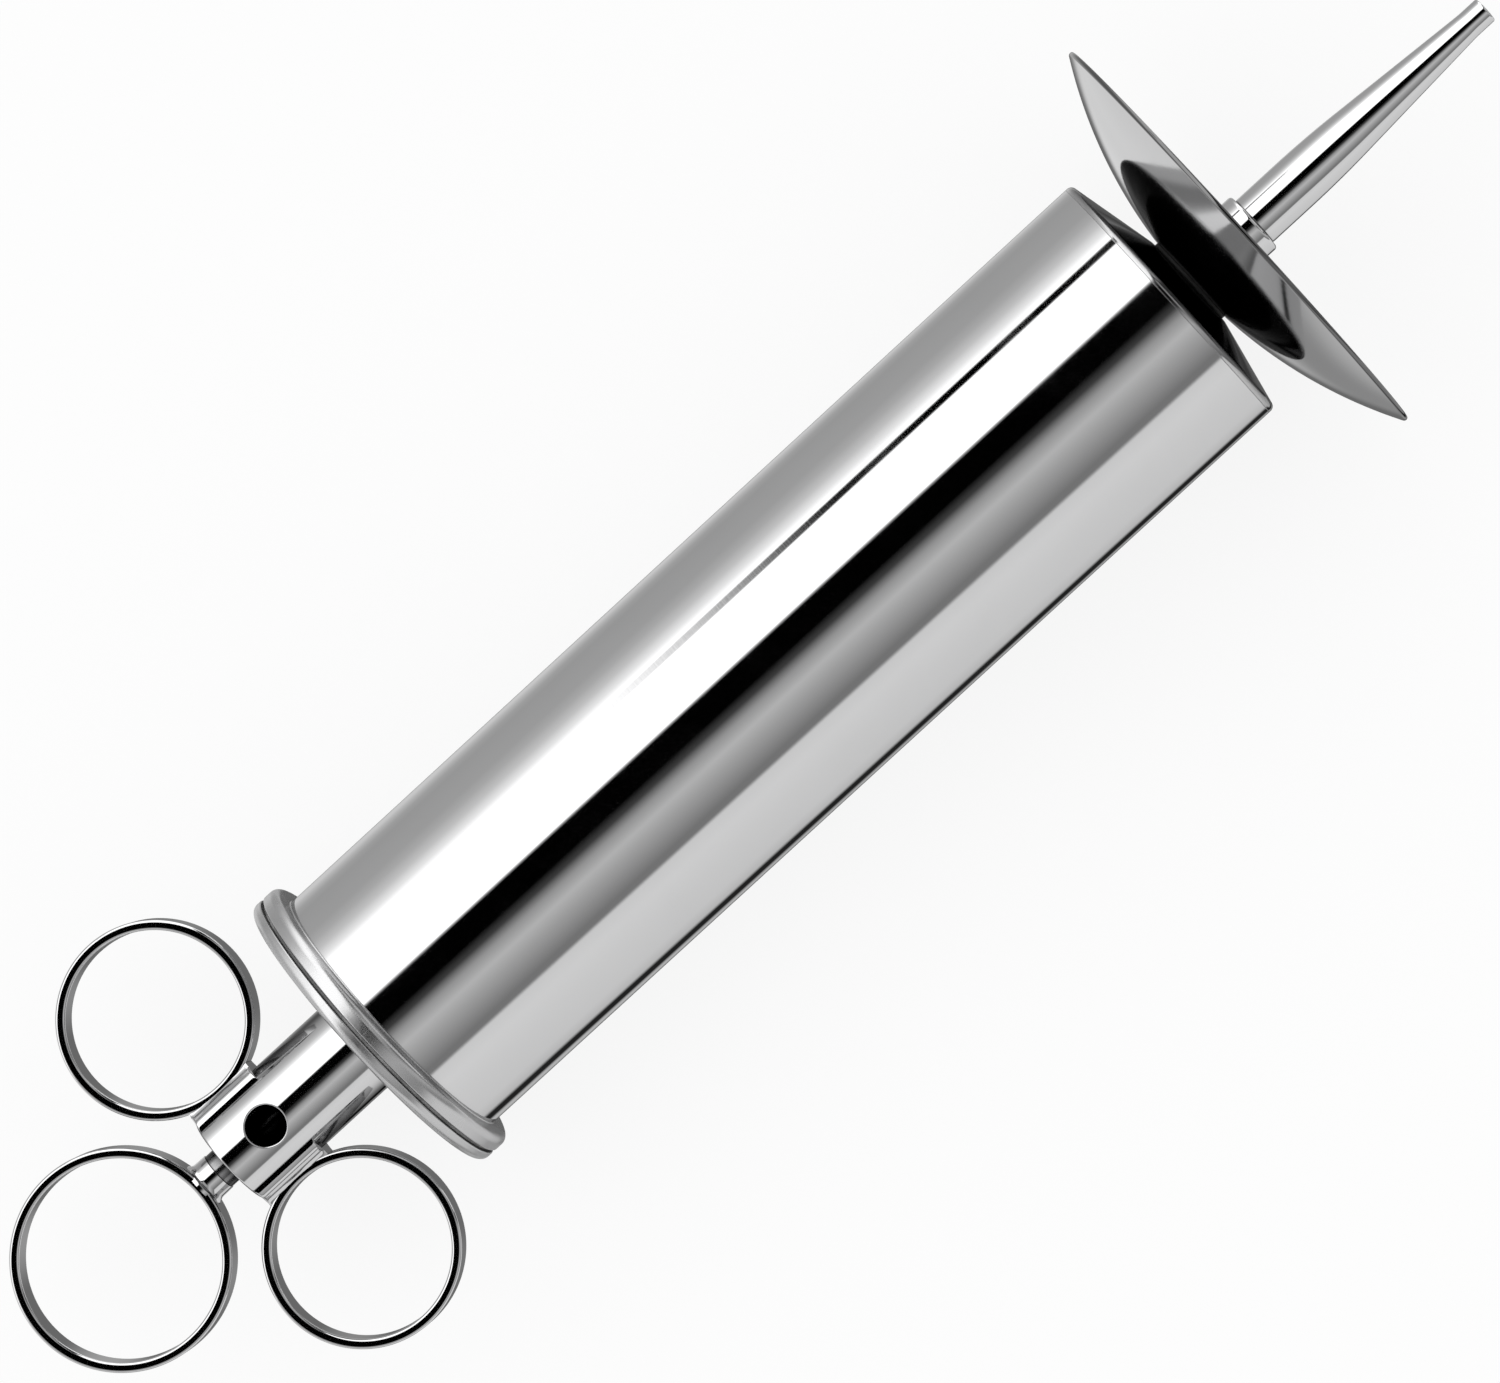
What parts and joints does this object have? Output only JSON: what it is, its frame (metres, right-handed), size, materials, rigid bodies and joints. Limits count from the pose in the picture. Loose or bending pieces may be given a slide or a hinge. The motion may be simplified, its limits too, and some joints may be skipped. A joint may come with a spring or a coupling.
{
  "type": "piston injector",
  "caption": "Metal piston syringe with a dished splash shield, a tapered nozzle, a flanged screw cap with side finger rings, and a rod with a thumb ring.",
  "frame": {"origin": "centre of the bounding box, on the barrel's axis, with the plunger pushed home", "axes": "+X along the barrel towards the nozzle's tip, +Y towards the left finger ring, +Z out of the plane of the rings, on the side of the drain hole"},
  "size_m": [0.2618, 0.0682, 0.066],
  "materials": {
    "chrome": "mirror-polished plating",
    "steel": "ground and polished",
    "brass": "turned",
    "rubber": "moulded, matt"
  },
  "bodies": {
    "barrel": {"barrel_tube": "chrome", "front_cap": "chrome", "nozzle_spigot": "chrome", "barrel_collar": "chrome"},
    "gasket": {"cap_gasket": "rubber"},
    "cap": {"rear_cap": "chrome", "guide_sleeve": "chrome", "front_bush": "brass", "finger_ring_left": "chrome", "finger_ring_right": "chrome"},
    "bush": {"rear_bush": "steel"},
    "plunger": {"piston_rod": "steel", "thumb_ring": "chrome", "rear_piston_disc": "steel", "rear_cup": "rubber", "piston_spacer": "steel", "front_cup": "rubber", "front_piston_disc": "steel", "lock_washer": "steel", "piston_nut": "brass"},
    "shield": {"shield_washer": "rubber", "splash_shield": "chrome"},
    "nozzle": {"nozzle_seal": "rubber", "nozzle_hub": "chrome", "nozzle_tube": "chrome"}
  },
  "joints": [
    {"name": "cap_lift", "type": "slide", "parent": "barrel", "child": "gasket", "axis": [-1, 0, 0], "range_m": [0, 0.005]},
    {"name": "cap_screw", "type": "hinge", "parent": "gasket", "child": "cap", "pos_m": [0, 0, 0], "axis": [-1, 0, 0], "range_deg": [0, 1440]},
    {"name": "plunger_spin", "type": "hinge", "parent": "cap", "child": "bush", "pos_m": [0, 0, 0], "axis": [1, 0, 0], "continuous": true},
    {"name": "plunger_slide", "type": "slide", "parent": "bush", "child": "plunger", "axis": [-1, 0, 0], "range_m": [0, 0.117]},
    {"name": "nozzle_advance", "type": "slide", "parent": "barrel", "child": "shield", "axis": [1, 0, 0], "range_m": [0, 0.005]},
    {"name": "nozzle_screw", "type": "hinge", "parent": "shield", "child": "nozzle", "pos_m": [0, 0, 0], "axis": [1, 0, 0], "range_deg": [0, 1800]}
  ],
  "couplings": [
    {"joint": "cap_screw", "follows": "cap_lift", "rad_per_m": 5026.5},
    {"joint": "nozzle_screw", "follows": "nozzle_advance", "rad_per_m": 6283.2}
  ]
}
